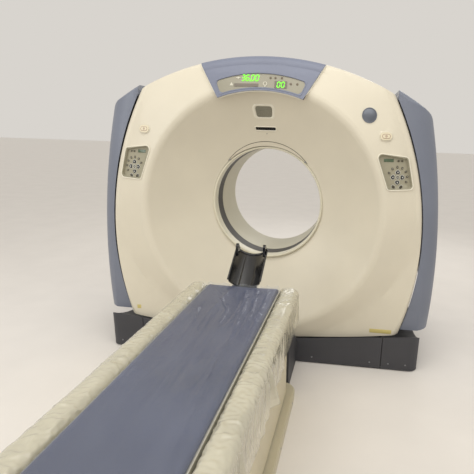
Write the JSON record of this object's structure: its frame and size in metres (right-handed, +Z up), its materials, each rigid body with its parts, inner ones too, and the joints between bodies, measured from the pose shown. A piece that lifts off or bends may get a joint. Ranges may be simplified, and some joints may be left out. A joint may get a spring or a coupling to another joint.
{
  "type": "ct scanner",
  "caption": "Tilting ring gantry with a wide bore and a lifting, sliding patient table with a head holder.",
  "frame": {"origin": "on the floor, straight under the scan centre at the gantry's middle", "axes": "+X right seen from the table, +Y from the table into the bore, +Z up"},
  "size_m": [2.23, 3.795, 1.885],
  "materials": {
    "cream_cover": "moulded cream covers, satin gloss",
    "blue_cover": "moulded blue-grey side covers, satin gloss",
    "display_cover": "blue-grey display housing",
    "display_panel": "grey-beige display window",
    "mesh_panel": "fine grey mesh behind a window",
    "intercom": "black slotted grille",
    "bore_trim": "light bore ring",
    "bore_window": "dark translucent scan window",
    "bore_liner": "light rear bore liner",
    "keypad": "grey keypad membrane with a light rim",
    "key": "dark arrow keys",
    "stop_button": "light oval buttons",
    "base_cover": "dark grey textured base covers",
    "base_steel": "dark grey painted steel",
    "stanchion_steel": "light grey painted steel",
    "frame_steel": "light grey cast aluminium ring frame",
    "gearbox": "grey painted gearbox",
    "bearing": "ground bearing ring",
    "motor": "dark painted motor",
    "belt": "black toothless drive belt",
    "pulley": "turned aluminium pulley",
    "drum": "machined aluminium drum",
    "tube_housing": "white painted housing",
    "collimator": "anodised block",
    "generator": "grey-green painted boxes",
    "detector": "blue-grey housing",
    "cooler": "finned cooler",
    "slip_ring": "brass tracks",
    "plinth": "cream plinth",
    "skirt_inner": "dark inner skirt",
    "skirt_outer": "cream skirt",
    "column": "steel lift column",
    "table_metal": "beige painted steel",
    "rail": "cream side rails",
    "film": "clear plastic film, creased",
    "carriage": "grey painted steel",
    "cradle": "light carbon-fibre cradle",
    "pad": "dark blue vinyl pad",
    "pad_film": "clear film over the pad",
    "head_holder": "black carbon-fibre head holder"
  },
  "bodies": {
    "base": {"base_frame": "base_steel", "stanchion_left": "stanchion_steel", "stanchion_right": "stanchion_steel", "tilt_gearbox": "gearbox", "base_front_cover": "base_cover", "base_end_cover_left": "base_cover", "base_end_cover_right": "base_cover", "link_cover": "base_cover", "table_plinth": "plinth", "lower_skirt": "skirt_inner", "lift_column_outer": "column"},
    "gantry": {"tilt_frame": "frame_steel", "bearing_ring": "bearing", "front_cover": "cream_cover", "rear_cover": "cream_cover", "side_cover_left": "blue_cover", "side_cover_right": "blue_cover", "top_cover": "cream_cover", "bore_ring": "bore_trim", "scan_window": "bore_window", "rear_bore_liner": "bore_liner", "bore_visor": "cream_cover", "display_housing": "display_cover", "display_window": "display_panel", "alignment_window": "mesh_panel", "intercom_grille": "intercom", "keypad_left": "keypad", "keypad_right": "keypad", "drive_motor": "motor", "drive_belt": "belt"},
    "rotor": {"rotor_drum": "drum", "xray_tube": "tube_housing", "collimator": "collimator", "hv_generator": "generator", "detector_arc": "detector", "cooling_unit": "cooler", "slip_ring": "slip_ring"},
    "motor_shaft": {"drive_pulley": "pulley"},
    "table_top": {"upper_skirt": "skirt_outer", "lift_column_inner": "column", "table_frame": "table_metal", "side_rail_left": "rail", "side_rail_right": "rail", "rail_films": "film"},
    "carriage_body": {"carriage": "carriage"},
    "cradle_body": {"cradle": "cradle", "cradle_pad": "pad", "pad_film": "pad_film", "head_holder": "head_holder"},
    "left_up_key_body": {"left_up_key": "key"},
    "left_down_key_body": {"left_down_key": "key"},
    "left_in_key_body": {"left_in_key": "key"},
    "left_out_key_body": {"left_out_key": "key"},
    "left_stop_button_body": {"left_stop_button": "stop_button"},
    "right_up_key_body": {"right_up_key": "key"},
    "right_down_key_body": {"right_down_key": "key"},
    "right_in_key_body": {"right_in_key": "key"},
    "right_out_key_body": {"right_out_key": "key"},
    "right_stop_button_body": {"right_stop_button": "stop_button"}
  },
  "joints": [
    {"name": "gantry_tilt", "type": "hinge", "parent": "base", "child": "gantry", "pos_m": [0, 0, 1.015], "axis": [-1, 0, 0], "range_deg": [-30, 30]},
    {"name": "rotor_spin", "type": "hinge", "parent": "gantry", "child": "rotor", "pos_m": [0, 0.17, 1.015], "axis": [0, 1, 0], "continuous": true},
    {"name": "motor_spin", "type": "hinge", "parent": "gantry", "child": "motor_shaft", "pos_m": [-0.68, 0.17, 0.47], "axis": [0, 1, 0], "continuous": true},
    {"name": "table_lift", "type": "slide", "parent": "base", "child": "table_top", "axis": [0, 0, 1], "range_m": [0, 0.31]},
    {"name": "carriage_slide", "type": "slide", "parent": "table_top", "child": "carriage_body", "axis": [0, 1, 0], "range_m": [0, 0.5]},
    {"name": "cradle_slide", "type": "slide", "parent": "carriage_body", "child": "cradle_body", "axis": [0, 1, 0], "range_m": [0, 0.5]},
    {"name": "left_up_press", "type": "slide", "parent": "gantry", "child": "left_up_key_body", "axis": [0.2705, 0.9578, -0.0968], "range_m": [0, 0.002], "stiffness_N_per_m": 300, "springref_m": -0.001},
    {"name": "left_down_press", "type": "slide", "parent": "gantry", "child": "left_down_key_body", "axis": [0.2705, 0.9578, -0.0968], "range_m": [0, 0.002], "stiffness_N_per_m": 300, "springref_m": -0.001},
    {"name": "left_in_press", "type": "slide", "parent": "gantry", "child": "left_in_key_body", "axis": [0.2705, 0.9578, -0.0968], "range_m": [0, 0.002], "stiffness_N_per_m": 300, "springref_m": -0.001},
    {"name": "left_out_press", "type": "slide", "parent": "gantry", "child": "left_out_key_body", "axis": [0.2705, 0.9578, -0.0968], "range_m": [0, 0.002], "stiffness_N_per_m": 300, "springref_m": -0.001},
    {"name": "left_stop_press", "type": "slide", "parent": "gantry", "child": "left_stop_button_body", "axis": [0.2387, 0.9578, -0.1599], "range_m": [0, 0.003], "stiffness_N_per_m": 600, "springref_m": -0.003},
    {"name": "right_up_press", "type": "slide", "parent": "gantry", "child": "right_up_key_body", "axis": [-0.2705, 0.9578, -0.0968], "range_m": [0, 0.002], "stiffness_N_per_m": 300, "springref_m": -0.001},
    {"name": "right_down_press", "type": "slide", "parent": "gantry", "child": "right_down_key_body", "axis": [-0.2705, 0.9578, -0.0968], "range_m": [0, 0.002], "stiffness_N_per_m": 300, "springref_m": -0.001},
    {"name": "right_in_press", "type": "slide", "parent": "gantry", "child": "right_in_key_body", "axis": [-0.2705, 0.9578, -0.0968], "range_m": [0, 0.002], "stiffness_N_per_m": 300, "springref_m": -0.001},
    {"name": "right_out_press", "type": "slide", "parent": "gantry", "child": "right_out_key_body", "axis": [-0.2705, 0.9578, -0.0968], "range_m": [0, 0.002], "stiffness_N_per_m": 300, "springref_m": -0.001},
    {"name": "right_stop_press", "type": "slide", "parent": "gantry", "child": "right_stop_button_body", "axis": [-0.2387, 0.9578, -0.1599], "range_m": [0, 0.003], "stiffness_N_per_m": 600, "springref_m": -0.003}
  ],
  "couplings": [
    {"joint": "motor_spin", "follows": "rotor_spin", "ratio": 10}
  ]
}
